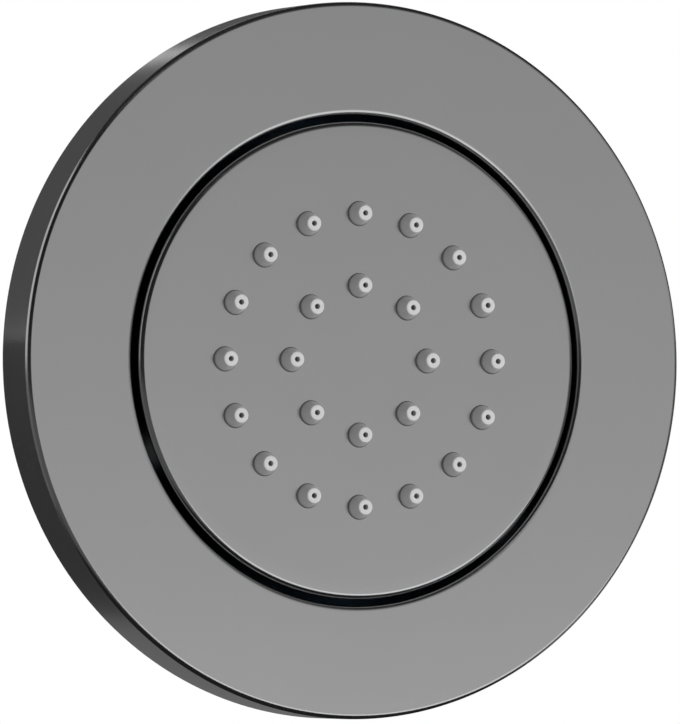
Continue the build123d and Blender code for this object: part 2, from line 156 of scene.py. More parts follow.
class JetShapeSettings(PropertyGroup):
    """Sizes of the edges and small forms that are finer than the solids"""

    front_edge: FloatProperty(
        name="Front edge", description="Rolled edge round the front of the flange",
        default=0.85 * MM, unit="LENGTH")
    groove_edge: FloatProperty(
        name="Groove edge", description="Rolled edges of the flange and the face plate along the groove",
        default=1.0 * MM, unit="LENGTH")
    broken_edge: FloatProperty(
        name="Broken edge", description="Small rounding on turned and moulded edges",
        default=0.3 * MM, unit="LENGTH")
    inner_corner: FloatProperty(
        name="Inner corner", description="Fillet in the corners of castings and mouldings",
        default=0.7 * MM, unit="LENGTH")
    hole_edge: FloatProperty(
        name="Nozzle hole edge", description="Rounding of the holes in the face plate",
        default=0.05 * MM, unit="LENGTH")
    hole_radius: FloatProperty(
        name="Nozzle hole radius", description="Radius of the holes in the face plate",
        default=2.065 * MM, unit="LENGTH")
    nozzle_base: FloatProperty(
        name="Nozzle base radius", description="Radius of a nozzle where it leaves the face plate",
        default=2.05 * MM, unit="LENGTH")
    nozzle_tip: FloatProperty(
        name="Nozzle tip radius", description="Radius of a nozzle at its tip",
        default=1.25 * MM, unit="LENGTH")
    nozzle_round: FloatProperty(
        name="Nozzle tip rounding", description="Rounding of the edge of a nozzle's tip",
        default=0.2 * MM, unit="LENGTH")
    jet_radius: FloatProperty(
        name="Jet radius", description="Radius of the jet in each nozzle",
        default=0.45 * MM, unit="LENGTH")
    jet_round: FloatProperty(
        name="Jet rounding", description="Rounding of the jet's mouth",
        default=0.06 * MM, unit="LENGTH")
    jet_length: FloatProperty(
        name="Jet length", description="Length of the jet before the nozzle widens inside",
        default=1.6 * MM, unit="LENGTH")
    cavity_radius: FloatProperty(
        name="Cavity radius", description="Radius of a nozzle's cavity at the back of the mat",
        default=1.2 * MM, unit="LENGTH")
    outer_ring: FloatProperty(
        name="Outer ring radius", description="Radius of the outer ring of nozzles",
        default=24.55 * MM, unit="LENGTH")
    outer_count: IntProperty(
        name="Outer ring nozzles", description="Nozzles on the outer ring", default=16)
    inner_ring: FloatProperty(
        name="Inner ring radius", description="Radius of the inner ring of nozzles",
        default=12.5 * MM, unit="LENGTH")
    inner_count: IntProperty(
        name="Inner ring nozzles", description="Nozzles on the inner ring", default=8)
    flange_ribs: IntProperty(
        name="Flange ribs", description="Ribs behind the flange", default=8)
    flange_rib_wall: FloatProperty(
        name="Flange rib wall", description="Thickness of the flange's ribs",
        default=1.6 * MM, unit="LENGTH")
    cup_ribs: IntProperty(
        name="Cup ribs", description="Anchoring ribs round the recess cup", default=6)
    cup_rib_columns: IntProperty(
        name="Cup rib columns", description="Width of the cup's ribs in columns of its mesh", default=3)
    thread_pitch: FloatProperty(
        name="Pipe thread pitch", description="Pitch of the pipe threads, 14 to the inch",
        default=1.814 * MM, unit="LENGTH")
    thread_depth: FloatProperty(
        name="Pipe thread depth", description="Depth of the pipe threads",
        default=1.16 * MM, unit="LENGTH")
    thread_relief: FloatProperty(
        name="Thread relief", description="Length of the groove that ends the pipe socket's thread",
        default=1.2 * MM, unit="LENGTH")


class JetFinishSettings(PropertyGroup):
    """Colours and gloss of the finishes"""

    gunmetal: FloatVectorProperty(
        name="Gunmetal", description="Satin plating on the flange and the face plate",
        subtype="COLOR", size=3, default=(0.50, 0.50, 0.505))
    gunmetal_roughness: FloatProperty(
        name="Gunmetal roughness", description="Roughness of the satin plating",
        subtype="FACTOR", min=0, max=1, default=0.20)
    silicone: FloatVectorProperty(
        name="Silicone", description="Nozzles and their mat", subtype="COLOR", size=3,
        default=(0.55, 0.55, 0.555))
    # Painted shade: the darker foot of a nozzle stands in for the shade where it meets the face plate
    silicone_foot_painted_shade: FloatVectorProperty(
        name="Silicone foot", description="Darker foot of a nozzle at the face plate",
        subtype="COLOR", size=3, default=(0.10, 0.10, 0.101))
    foot_painted_shade_height: FloatProperty(
        name="Foot height", description="How far the darker foot of a nozzle reaches",
        default=0.55 * MM, unit="LENGTH")
    # Painted highlight: the paler tip rims stand in for the light that falls on the tips, which face the lamp
    silicone_tip_painted_highlight: FloatVectorProperty(
        name="Silicone tip", description="Paler rims of the nozzle tips", subtype="COLOR", size=3,
        default=(0.62, 0.62, 0.62))
    cup: FloatVectorProperty(
        name="Cup plastic", description="Moulded recess cup", subtype="COLOR", size=3,
        default=(0.10, 0.20, 0.30))
    cup_roughness: FloatProperty(
        name="Cup roughness", description="Roughness of the cup's plastic",
        subtype="FACTOR", min=0, max=1, default=0.5)
    brass: FloatVectorProperty(
        name="Brass", description="Turned inlet body and locknut", subtype="COLOR", size=3,
        default=(0.80, 0.61, 0.30))
    brass_roughness: FloatProperty(
        name="Brass roughness", description="Roughness of the turned brass",
        subtype="FACTOR", min=0, max=1, default=0.32)
    nickel: FloatVectorProperty(
        name="Nickel", description="Plated ball stem and ball nut", subtype="COLOR", size=3,
        default=(0.72, 0.69, 0.62))
    nickel_roughness: FloatProperty(
        name="Nickel roughness", description="Roughness of the nickel plating",
        subtype="FACTOR", min=0, max=1, default=0.22)


class JetStageSettings(PropertyGroup):
    """Camera and light"""

    azimuth: FloatProperty(
        name="Azimuth", description="Camera's turn from the front, to the right",
        subtype="ANGLE", default=math.radians(-24.69))
    elevation: FloatProperty(
        name="Elevation", description="Camera's height above the jet's axis",
        subtype="ANGLE", default=math.radians(-1.30))
    distance: FloatProperty(
        name="Distance", description="From the camera to the wall behind the flange's centre",
        unit="LENGTH", default=1.572)
    lens: FloatProperty(
        name="Lens", description="Focal length in millimetres", default=464.7)
    aim_right: FloatProperty(
        name="Aim right", description="Aim beside the flange's centre", unit="LENGTH",
        default=1.44 * MM)
    aim_up: FloatProperty(
        name="Aim up", description="Aim above the flange's centre", unit="LENGTH",
        default=-0.068 * MM)
    floor_drop: FloatProperty(
        name="Floor drop", description="From the jet's axis down to the floor", unit="LENGTH",
        default=0.25)
    floor_radius: FloatProperty(
        name="Floor radius", description="Radius of the round floor", unit="LENGTH", default=1.6)
    floor_shade: FloatProperty(
        name="Floor shade", description="How pale the floor is", subtype="FACTOR", min=0, max=1, default=0.85)
    floor_white: FloatProperty(
        name="Floor white", description="Share of plain white in the floor as it is seen",
        subtype="FACTOR", min=0, max=1, default=0.7)
    fill: FloatProperty(
        name="Fill light", description="Strength of the white room's light", default=0.42)
    key_power: FloatProperty(
        name="Key light", description="Power of the large lamp in front, in watts", default=34.0)
    rear_power: FloatProperty(
        name="Rear light", description="Power of the lamp behind, in watts", default=6.0)


def spaced(values):
    """Sorted values without near repeats."""
    kept = []
    for value in sorted(values):
        if not kept or value - kept[-1] > NEAR:
            kept.append(value)
    return kept


def from_axis(point):
    """Distance of a point from the jet's axis."""
    return math.hypot(point.x, point.z)


def rings(node, front, back):
    """Radii of a solid's corners between two depths, smallest first."""
    corners = frame["nodes"][node].data.vertices
    return spaced(from_axis(v.co) for v in corners if front - NEAR < v.co.y < back + NEAR)


def depths(node, radius):
    """Depths of a solid's corners at one radius, nearest to the room first."""
    corners = frame["nodes"][node].data.vertices
    return spaced(v.co.y for v in corners if abs(from_axis(v.co) - radius) < NEAR)


def draw_section(bm, points, rounds=(), closed=True):
    """Draw a section from (radius, depth) points, round its corners and return its edges.

    Each round is a radius and the numbers of the corners that take it.
    """
    others = set(bm.faces)
    corners = [bm.verts.new((radius, depth, 0)) for radius, depth in points]
    bm.faces.new(corners)
    ends = {corners[0], corners[-1]}
    for size, picked in rounds:
        bmesh.ops.bevel(
            bm, geom=[corners[i] for i in picked], offset=size, offset_type="OFFSET",
            affect="VERTICES", segments=ROUND_SEGMENTS, profile=0.5, material=-1)
    section = [f for f in bm.faces if f not in others]
    edges = list({e for f in section for e in f.edges})
    bmesh.ops.delete(bm, geom=section, context="FACES_ONLY")
    if closed:
        return edges
    closing = [e for e in edges if set(e.verts) == ends]
    edges = [e for e in edges if e not in closing]
    bmesh.ops.delete(bm, geom=closing, context="EDGES_FACES")
    return edges


def edge_points(edges):
    """The corners of some edges, each once."""
    return list({v for e in edges for v in e.verts})


def made_since(bm, before):
    """The corners that a form has gained."""
    return [v for v in bm.verts if v not in before]


def linked(verts):
    """Some corners with every edge and face that they carry."""
    edges = {e for v in verts for e in v.link_edges}
    faces = {f for v in verts for f in v.link_faces}
    return [*verts, *edges, *faces]


def behind(bm, depth):
    """The corners, edges and faces that lie wholly behind a depth."""
    corners = [v for v in bm.verts if v.co.y > depth]
    edges = [e for e in bm.edges if all(v.co.y > depth for v in e.verts)]
    faces = [f for f in bm.faces if all(v.co.y > depth for v in f.verts)]
    return corners + edges + faces


def cut(bm, geom, place, normal, clear=False):
    """Cut a form along a plane and, if asked, clear away the side that the normal points to."""
    bmesh.ops.bisect_plane(
        bm, geom=geom, dist=ON_PLANE, plane_co=place, plane_no=normal, clear_outer=clear, clear_inner=False)


def spin(bm, geom, steps, angle=math.tau, axis=AXIS, rise=0, merge=False, copies=False):
    """Sweep a form round an axis, or set out copies of it, with a rise along the jet's axis at each step."""
    bmesh.ops.spin(
        bm, geom=geom, cent=ORIGIN, axis=axis, dvec=(0, rise, 0), angle=angle, steps=steps,
        use_merge=merge, use_normal_flip=False, use_duplicate=copies)


def turn(bm, edges, steps, angle=math.tau):
    """Sweep a section round the jet's axis."""
    spin(bm, edge_points(edges) + edges, steps, angle, merge=angle == math.tau)


def repeat(bm, geom, count):
    """Copy a form round the jet's axis, evenly spaced."""
    if count > 1:
        spin(bm, geom, count - 1, math.tau * (count - 1) / count, copies=True)


def open_edges(bm):
    """Edges that border one face only."""
    return [e for e in bm.edges if len(e.link_faces) == 1]


def fill_depth(bm, depth):
    """Close the flat face at one depth, round every loop that opens there."""
    rim = [e for e in open_edges(bm) if all(abs(v.co.y - depth) < MERGE for v in e.verts)]
    bmesh.ops.triangle_fill(bm, edges=rim, use_beauty=True, use_dissolve=False, normal=AXIS)


def add_rings(bm, section, rounds, ring_sizes):
    """Turn a small section about its own axis and set it out on rings, with one at the top."""
    for ring_radius, count in ring_sizes:
        before = set(bm.verts)
        turn(bm, draw_section(bm, section, rounds, closed=False), NOZZLE_STEPS)
        made = made_since(bm, before)
        bmesh.ops.translate(bm, verts=made, vec=(0, 0, ring_radius))
        repeat(bm, linked(made), count)


def add_holes(bm, radius, edge, front, back, ring_sizes):
    """Line round holes through a plate, with their edges rounded."""
    section = [(radius + 2 * edge, front), (radius, front), (radius, back), (radius + 2 * edge, back)]
    add_rings(bm, section, [(edge, [1, 2])], ring_sizes)


def nozzle_rings(shape):
    """Radius and number of nozzles of each ring."""
    return (shape.outer_ring, shape.outer_count), (shape.inner_ring, shape.inner_count)


def set_radius(vert, radius):
    """Move a corner straight towards the jet's axis or away from it."""
    factor = radius / from_axis(vert.co)
    vert.co.x *= factor
    vert.co.z *= factor


def add_thread(bm, root, crest, pitch, front, back, mouth):
    """Wind a right-hand thread from front to back, led in at 45 degrees from a mouth radius."""
    before = set(bm.verts)
    turns = math.ceil((back - front) / pitch) + SPARE_TURNS
    section = []
    for place in range(turns * len(THREAD_FORM)):
        height = THREAD_FORM[place % len(THREAD_FORM)]
        depth = front + (place / len(THREAD_FORM) - LEAD_TURNS) * pitch
        section.append(bm.verts.new((root + height * (crest - root), depth, 0)))
    edges = [bm.edges.new(ends) for ends in zip(section, section[1:])]
    spin(bm, section + edges, FITTING_STEPS, rise=pitch / FITTING_STEPS)
    bmesh.ops.remove_doubles(bm, verts=made_since(bm, before), dist=MERGE)
    for depth, outward in ((front, -1), (back, 1)):
        cut(bm, linked(made_since(bm, before)), (0, depth, 0), (0, outward, 0), clear=True)
    limit = min if crest > root else max
    slope = 1 if crest > root else -1
    for vert in made_since(bm, before):
        set_radius(vert, limit(from_axis(vert.co), mouth + slope * (back - vert.co.y)))


def to_object(bm, name, material):
    """Turn a form into an object of one material."""
    mesh = bpy.data.meshes.new(name)
    bm.to_mesh(mesh)
    bm.free()
    mesh.materials.append(material)
    made = bpy.data.objects.new(name, mesh)
    bpy.context.scene.collection.objects.link(made)
    return made


def to_piece(bm, name, body, material, node):
    """Make a closed form a piece that stands for a solid and rides on its body."""
    bmesh.ops.remove_doubles(bm, verts=bm.verts, dist=MERGE)
    bmesh.ops.recalc_face_normals(bm, faces=bm.faces)
    gaps = len(open_edges(bm))
    if gaps:
        raise RuntimeError(f"{name} has {gaps} open edges")
    piece = to_object(bm, name, material)
    piece.data.shade_smooth()
    piece.data.set_sharp_from_angle(angle=SHARP_ANGLE)
    normals = piece.modifiers.new("Flat faces stay flat", "WEIGHTED_NORMAL")
    normals.keep_sharp = True
    normals.weight = LARGE_FACE_WEIGHT
    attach(piece, body)
    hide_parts(node)


def shader_nodes(name):
    """A new material's tree, its surface shader and its Object coordinates."""
    material = bpy.data.materials.new(name)
    material.use_nodes = True
    tree = material.node_tree
    coordinates = tree.nodes.new("ShaderNodeTexCoord").outputs["Object"]
    return material, tree, tree.nodes["Principled BSDF"], coordinates


def add_noise(tree, coordinates, size, detail=2.0):
    """Noise whose features are about the given size."""
    noise = tree.nodes.new("ShaderNodeTexNoise")
    noise.inputs["Scale"].default_value = 1 / size
    noise.inputs["Detail"].default_value = detail
    tree.links.new(coordinates, noise.inputs["Vector"])
    return noise.outputs["Fac"]


def set_input(tree, socket, value):
    """Give a socket another socket's value, or a value of its own."""
    if isinstance(value, bpy.types.NodeSocket):
        tree.links.new(value, socket)
    else:
        socket.default_value = value


def add_math(tree, operation, *values):
    """Work out a value from others."""
    node = tree.nodes.new("ShaderNodeMath")
    node.operation = operation
    for socket, value in zip(node.inputs, values):
        set_input(tree, socket, value)
    return node.outputs[0]


def ramp(tree, value, start, end, low=0, high=1):
    """Map one range of values to another, and hold its ends."""
    node = tree.nodes.new("ShaderNodeMapRange")
    node.inputs["From Min"].default_value = start
    node.inputs["From Max"].default_value = end
    node.inputs["To Min"].default_value = low
    node.inputs["To Max"].default_value = high
    tree.links.new(value, node.inputs["Value"])
    return node.outputs["Result"]


def spread(tree, pattern, low, high):
    """Spread a pattern over a range of values."""
    return ramp(tree, pattern, NOISE_LOW, NOISE_HIGH, low, high)


def mix_colors(tree, factor, first, second):
    """Go over from one colour to another."""
    node = tree.nodes.new("ShaderNodeMix")
    node.data_type = "RGBA"
    for name, value in (("Factor", factor), ("A", first), ("B", second)):
        set_input(tree, node.inputs[name], value)
    return node.outputs["Result"]


def add_bump(tree, shader, height, strength, depth):
    """Raise the surface by a pattern."""
    bump = tree.nodes.new("ShaderNodeBump")
    bump.inputs["Strength"].default_value = strength
    bump.inputs["Distance"].default_value = depth
    tree.links.new(height, bump.inputs["Height"])
    tree.links.new(bump.outputs["Normal"], shader.inputs["Normal"])


def shade(color, factor):
    """A colour made darker or paler."""
    return (*(min(1, c * factor) for c in color), 1)


def mottled(tree, pattern, color, contrast):
    """A colour that a pattern makes a little darker and paler."""
    return mix_colors(tree, pattern, shade(color, 1 - contrast), shade(color, 1 + contrast))


def grained(name, color, roughness, grain, contrast, strength, metallic=0):
    """A finish with fine grain in its colour and surface, and a broad unevenness in its colour and gloss."""
    material, tree, shader, coordinates = shader_nodes(name)
    fine = add_noise(tree, coordinates, grain)
    broad = add_noise(tree, coordinates, BROAD_GRAINS * grain)
    half = add_math(tree, "MULTIPLY", broad, EVEN_SHARE)
    pattern = spread(tree, add_math(tree, "MULTIPLY_ADD", fine, EVEN_SHARE, half), 0, 1)
    gloss = spread(tree, broad, roughness * (1 - GLOSS_SPREAD), roughness * (1 + GLOSS_SPREAD))
    tree.links.new(mottled(tree, pattern, color, contrast), shader.inputs["Base Color"])
    tree.links.new(gloss, shader.inputs["Roughness"])
    shader.inputs["Metallic"].default_value = metallic
    add_bump(tree, shader, fine, strength, GRAIN_DEPTH * grain)
    return material


def gunmetal_finish(settings):
    """Satin dark grey plating."""
    return grained(GUNMETAL, settings.gunmetal, settings.gunmetal_roughness, *GUNMETAL_GRAIN, metallic=1)


def silicone_finish(settings, face, tip_depth, tip_rim):
    """Soft matt silicone, with painted shade where a nozzle leaves the face plate and a painted highlight on
    the rim of its tip.
    """
    material, tree, shader, coordinates = shader_nodes("silicone")
    place = tree.nodes.new("ShaderNodeSeparateXYZ")
    tree.links.new(coordinates, place.inputs[0])
    depth = place.outputs["Y"]
    away = add_math(tree, "ABSOLUTE", add_math(tree, "SUBTRACT", depth, face))
    fine = add_noise(tree, coordinates, SILICONE_GRAIN)
    # Painted shade at each nozzle's foot, round the face plate
    foot = mottled(tree, fine, settings.silicone_foot_painted_shade, SILICONE_CONTRAST)
    body = mottled(tree, fine, settings.silicone, SILICONE_CONTRAST)
    # Painted highlight on the tip rims
    tip = mottled(tree, fine, settings.silicone_tip_painted_highlight, TIP_CONTRAST)
    # The painted shade fades out over its height on each side of the face plate
    side = mix_colors(tree, ramp(tree, away, 0, settings.foot_painted_shade_height), foot, body)
    # Where the painted highlight lies on the tip's rounding
    rim = ramp(tree, depth, tip_depth + HIGHLIGHT_START * tip_rim, tip_depth + HIGHLIGHT_END * tip_rim)
    tree.links.new(mix_colors(tree, rim, side, tip), shader.inputs["Base Color"])
    tree.links.new(spread(tree, fine, *SILICONE_ROUGHNESS), shader.inputs["Roughness"])
    add_bump(tree, shader, fine, *SILICONE_RELIEF)
    return material


def add_wave(tree, coordinates, kind, spacing, detail):
    """A lathe's fine lines: BANDS round a side, RINGS on an end face."""
    wave = tree.nodes.new("ShaderNodeTexWave")
    wave.wave_type = kind
    wave.bands_direction = wave.rings_direction = "Y"
    wave.inputs["Scale"].default_value = 1 / spacing
    wave.inputs["Distortion"].default_value = LATHE_WANDER
    wave.inputs["Detail"].default_value = detail
    tree.links.new(coordinates, wave.inputs["Vector"])
    return wave.outputs["Fac"]


def turned_metal(name, color, roughness, feed):
    """Bright metal with the fine lines that a lathe leaves."""
    material, tree, shader, coordinates = shader_nodes(name)
    sides = add_wave(tree, coordinates, "BANDS", feed, SIDE_DETAIL)
    ends = add_wave(tree, coordinates, "RINGS", feed, END_DETAIL)
    patches = add_noise(tree, coordinates, PATCH_SIZE, PATCH_DETAIL)
    tone = mix_colors(tree, patches, *(shade(color, factor) for factor in PATCH_SHADES))
    gloss = spread(tree, patches, *(roughness * factor for factor in PATCH_ROUGHNESS))
    tree.links.new(tone, shader.inputs["Base Color"])
    tree.links.new(gloss, shader.inputs["Roughness"])
    shader.inputs["Metallic"].default_value = 1
    add_bump(tree, shader, add_math(tree, "ADD", sides, ends), *LATHE_RELIEF)
    return material


def foam_finish():
    """Closed cell foam."""
    material, tree, shader, coordinates = shader_nodes("foam")
    voronoi = tree.nodes.new("ShaderNodeTexVoronoi")
    voronoi.inputs["Scale"].default_value = 1 / FOAM_CELL
    tree.links.new(coordinates, voronoi.inputs["Vector"])
    cells = voronoi.outputs["Distance"]
    tree.links.new(mix_colors(tree, cells, FOAM_DARK, FOAM_PALE), shader.inputs["Base Color"])
    tree.links.new(spread(tree, cells, *FOAM_ROUGHNESS), shader.inputs["Roughness"])
    add_bump(tree, shader, cells, *FOAM_RELIEF)
    return material


def kept_finishes(settings):
    """The finishes of the solids that show as they are, by material slot."""
    finishes = {slot: grained(slot, *values) for slot, values in PLAIN_FINISHES.items()}
    finishes["nickel"] = turned_metal("nickel", settings.nickel, settings.nickel_roughness, NICKEL_FEED)
    return finishes


class BODYJET_OT_flange(Operator):
    """Turn the flange, with its rolled edges, seal groove and the ribs behind it"""

    bl_idname = "bodyjet.flange"
    bl_label = "Flange"

    def execute(self, context):
        shape = context.scene.bodyjet_shape
        low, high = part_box("flange")
        opening = rings("flange", low.y, high.y)[0]
        sleeve_in, groove_floor, sleeve_lead, sleeve_out = rings("flange", BEHIND_WALL, high.y)
        skirt_in = rings("flange", 0, 0)[0]
        front_back, rib_back, wall = depths("flange", skirt_in)
        lip_back = depths("flange", opening)[-1]
        groove_front, groove_back = depths("flange", groove_floor)
        before_ribs = [
            (opening, low.y), (high.x, low.y), (high.x, wall), (skirt_in, wall), (skirt_in, rib_back)]
        channel = [(skirt_in, front_back), (sleeve_out, front_back)]
        after_ribs = [
            (sleeve_out, rib_back), (sleeve_out, groove_front), (groove_floor, groove_front),
            (groove_floor, groove_back), (sleeve_out, groove_back),
            (sleeve_out, high.y - (sleeve_out - sleeve_lead)), (sleeve_lead, high.y),
            (sleeve_in, high.y), (sleeve_in, lip_back), (opening, lip_back)]
        rib_angle = shape.flange_rib_wall / ((skirt_in + sleeve_out) / 2)
        bay_angle = math.tau / shape.flange_ribs - rib_angle
        bay_steps = RIM_STEPS // shape.flange_ribs - RIB_STEPS
        channel_start = len(before_ribs)
        bm = bmesh.new()
        for rib in range(shape.flange_ribs):
            start = math.tau * rib / shape.flange_ribs - rib_angle / 2
            for between, angle, steps in (([], rib_angle, RIB_STEPS), (channel, bay_angle, bay_steps)):
                section = before_ribs + between + after_ribs
                last = len(section) - 1
                rounds = [
                    (shape.groove_edge, [0]),
                    (shape.front_edge, [1]),
                    (shape.broken_edge, [2, 3, last - 2, last]),
                ]
                if between:
                    rounds.append((shape.inner_corner, [channel_start, channel_start + 1]))
                edges = draw_section(bm, section, rounds)
                turned = Matrix.Rotation(start, 3, AXIS)
                bmesh.ops.rotate(bm, verts=edge_points(edges), cent=ORIGIN, matrix=turned)
                turn(bm, edges, steps, angle)
                start += angle
        bmesh.ops.remove_doubles(bm, verts=bm.verts, dist=MERGE)
        bmesh.ops.edgeloop_fill(bm, edges=open_edges(bm))
        material = gunmetal_finish(context.scene.bodyjet_finish)
        to_piece(bm, "flange_ring", "wall_body", material, "flange")
        return {"FINISHED"}


class BODYJET_OT_face_plate(Operator):
    """Draw the face plate: a pierced disc with a rolled edge and a skirt"""

    bl_idname = "bodyjet.face_plate"
    bl_label = "Face Plate"

    def execute(self, context):
        shape = context.scene.bodyjet_shape
        low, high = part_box("face_plate")
        skirt_in = rings("face_plate", high.y, high.y)[0]
        snap_radius = rings("face_plate", low.y + 2 * shape.groove_edge, high.y)[1]
        snap_front, snap_back = depths("face_plate", snap_radius)
        inside = depths("face_plate", skirt_in)[0]
        flat = skirt_in - 2 * shape.groove_edge
        section = [
            (flat, low.y), (high.x, low.y), (high.x, high.y), (skirt_in, high.y),
            (skirt_in, snap_back), (snap_radius, snap_back), (snap_radius, snap_front),
            (skirt_in, snap_front), (skirt_in, inside), (flat, inside)]
        rounds = [(shape.groove_edge, [1]), (shape.broken_edge, [2, 3, 8])]
        bm = bmesh.new()
        turn(bm, draw_section(bm, section, rounds, closed=False), RIM_STEPS)
        add_holes(bm, shape.hole_radius, shape.hole_edge, low.y, inside, nozzle_rings(shape))
        fill_depth(bm, low.y)
        fill_depth(bm, inside)
        material = bpy.data.materials[GUNMETAL]
        to_piece(bm, "face_plate_cap", "spray_head", material, "face_plate")
        return {"FINISHED"}


class BODYJET_OT_nozzle_mat(Operator):
    """Mould the silicone mat with its hollow nozzles"""

    bl_idname = "bodyjet.nozzle_mat"
    bl_label = "Nozzle Mat"

    def execute(self, context):
        shape = context.scene.bodyjet_shape
        low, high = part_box("nozzle_mat")
        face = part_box("face_plate")[0].y
        front = depths("nozzle_mat", high.x)[0]
        flat = high.x - 2 * shape.broken_edge
        bm = bmesh.new()
        rim = [(flat, front), (high.x, front), (high.x, high.y), (flat, high.y)]
        turn(bm, draw_section(bm, rim, [(shape.broken_edge, [1, 2])], closed=False), RIM_STEPS)
        nozzle = [
            (shape.nozzle_base, front), (shape.nozzle_base, face), (shape.nozzle_tip, low.y),
            (shape.jet_radius, low.y), (shape.jet_radius, low.y + shape.jet_length),
            (shape.cavity_radius, high.y)]
        rounds = [(shape.nozzle_round, [2]), (shape.jet_round, [3])]
        add_rings(bm, nozzle, rounds, nozzle_rings(shape))
        fill_depth(bm, front)
        fill_depth(bm, high.y)
        material = silicone_finish(context.scene.bodyjet_finish, face, low.y, shape.nozzle_round)
        to_piece(bm, "silicone_mat", "spray_head", material, "nozzle_mat")
        return {"FINISHED"}


class BODYJET_OT_wall_seal(Operator):
    """Cut the foam gasket that lies between the flange and the wall"""

    bl_idname = "bodyjet.wall_seal"
    bl_label = "Wall Seal"

    def execute(self, context):
        shape = context.scene.bodyjet_shape
        low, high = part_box("wall_seal")
        inner = rings("wall_seal", low.y, high.y)[0]
        section = [(inner, low.y), (high.x, low.y), (high.x, high.y), (inner, high.y)]
        bm = bmesh.new()
        turn(bm, draw_section(bm, section, [(shape.broken_edge, [0, 1, 2, 3])]), RIM_STEPS)
        to_piece(bm, "foam_gasket", "wall_body", foam_finish(), "wall_seal")
        return {"FINISHED"}


class BODYJET_OT_recess_cup(Operator):
    """Mould the recess cup, with its screw holes and anchoring ribs"""

    bl_idname = "bodyjet.recess_cup"
    bl_label = "Recess Cup"

    def execute(self, context):
        shape = context.scene.bodyjet_shape
        low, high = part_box("recess_cup")
        screws = next(m for m in frame["record"]["mounts"] if m["name"] == "cup_screws")["dims"]
        inside, outside = rings("recess_cup", low.y, low.y)
        floor_front = depths("recess_cup", inside)[-1]
        back_round = high.y - depths("recess_cup", outside)[-1]
        rib_front, rib_back = depths("recess_cup", rings("recess_cup", low.y, high.y)[-1])
        flat = inside - 2 * shape.inner_corner
        section = [
            (flat, floor_front), (inside, floor_front), (inside, low.y), (outside, low.y),
            (outside, rib_front), (outside, rib_back), (outside, high.y), (flat, high.y)]
        rounds = [(shape.inner_corner, [1]), (shape.broken_edge, [2, 3]), (back_round, [6])]
        bm = bmesh.new()
        edges = draw_section(bm, section, rounds, closed=False)
        half_column = Matrix.Rotation(math.pi / RIM_STEPS, 3, AXIS)
        bmesh.ops.rotate(bm, verts=edge_points(edges), cent=ORIGIN, matrix=half_column)
        turn(bm, edges, RIM_STEPS)
        rib_space = math.tau / shape.cup_ribs
        rib_half = math.pi * shape.cup_rib_columns / RIM_STEPS
        ribs = []
        for face in bm.faces:
            middle = face.calc_center_median()
            aside = (math.atan2(middle.z, middle.x) + rib_space / 2) % rib_space - rib_space / 2
            on_wall = from_axis(middle) > outside - NEAR and rib_front < middle.y < rib_back
            if on_wall and abs(aside) < rib_half:
                ribs.append(face)
        raised = bmesh.ops.extrude_face_region(bm, geom=ribs)["geom"]
        for vert in raised:
            if isinstance(vert, bmesh.types.BMVert):
                set_radius(vert, high.x)
        bmesh.ops.delete(bm, geom=[f for f in ribs if f.is_valid], context="FACES_ONLY")
        for hole, ring_radius, count in (
            (rings("recess_cup", high.y, high.y)[0], 0, 1),
            (screws["hole_r_mm"] * MM, screws["pcd_mm"] / 2 * MM, screws["count"]),
        ):
            add_holes(bm, hole, shape.broken_edge, floor_front, high.y, [(ring_radius, count)])
        fill_depth(bm, floor_front)
        fill_depth(bm, high.y)
        settings = context.scene.bodyjet_finish
        finish = grained("moulded_cup", settings.cup, settings.cup_roughness, *CUP_GRAIN)
        to_piece(bm, "cup", "wall_body", finish, "recess_cup")
        return {"FINISHED"}


class BODYJET_OT_inlet_body(Operator):
    """Turn the brass inlet body, cut its two pipe threads and mill its flats"""

    bl_idname = "bodyjet.inlet_body"
    bl_label = "Inlet Body"

    def execute(self, context):
        shape = context.scene.bodyjet_shape
        low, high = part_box("inlet_body")
        corners = [v.co for v in frame["nodes"]["inlet_body"].data.vertices]
        flat = max(c.z for c in corners if c.y > high.y - NEAR)
        flat_front = min(c.y for c in corners if abs(c.z - flat) < NEAR)
        crest = rings("inlet_body", flat_front, flat_front)[-1]
        mouth = rings("inlet_body", high.y, high.y)[-1]
        flange_back = depths("inlet_body", high.x)[-1]
        bores = []
        for radius in rings("inlet_body", low.y, high.y):
            if radius < flat - NEAR:
                ends = depths("inlet_body", radius)
                bores.append((ends[0], ends[-1], radius))
        *bores, (socket_front, _, socket) = sorted(bores)
        socket_root = socket + shape.thread_depth
        relief = socket_root + shape.broken_edge
        relief_back = socket_front + shape.thread_relief
        root = crest - shape.thread_depth
        groove = root - shape.broken_edge
        groove_front = flange_back + shape.thread_pitch
        thread_front = groove_front + shape.thread_pitch
        section = [
            (groove, thread_front), (groove, groove_front), (crest, groove_front), (crest, flange_back),
            (high.x, flange_back), (high.x, low.y)]
        for front, back, radius in bores:
            section += [(radius, front), (radius, back)]
        section += [(relief, socket_front), (relief, relief_back)]
        bm = bmesh.new()
        turn(bm, draw_section(bm, section, [(shape.broken_edge, [4, 5])], closed=False), FITTING_STEPS)
        add_thread(bm, root, crest, shape.thread_pitch, thread_front, high.y, mouth)
        add_thread(bm, socket_root, socket, shape.thread_pitch, relief_back, high.y, socket_root)
        for depth in (flat_front, flat_front + NEAR):
            cut(bm, bm.verts[:] + bm.edges[:] + bm.faces[:], (0, depth, 0), AXIS)
        milled_front = flat_front + NEAR / 2
        for side in (-flat, flat):
            cut(bm, behind(bm, milled_front), (0, 0, side), (0, 0, 1))
        for vert in bm.verts:
            if vert.co.y > milled_front:
                vert.co.z = max(-flat, min(flat, vert.co.z))
        for depth in (thread_front, relief_back, high.y):
            fill_depth(bm, depth)
        settings = context.scene.bodyjet_finish
        finish = turned_metal(BRASS, settings.brass, settings.brass_roughness, BRASS_FEED)
        to_piece(bm, "brass_inlet", "wall_body", finish, "inlet_body")
        return {"FINISHED"}


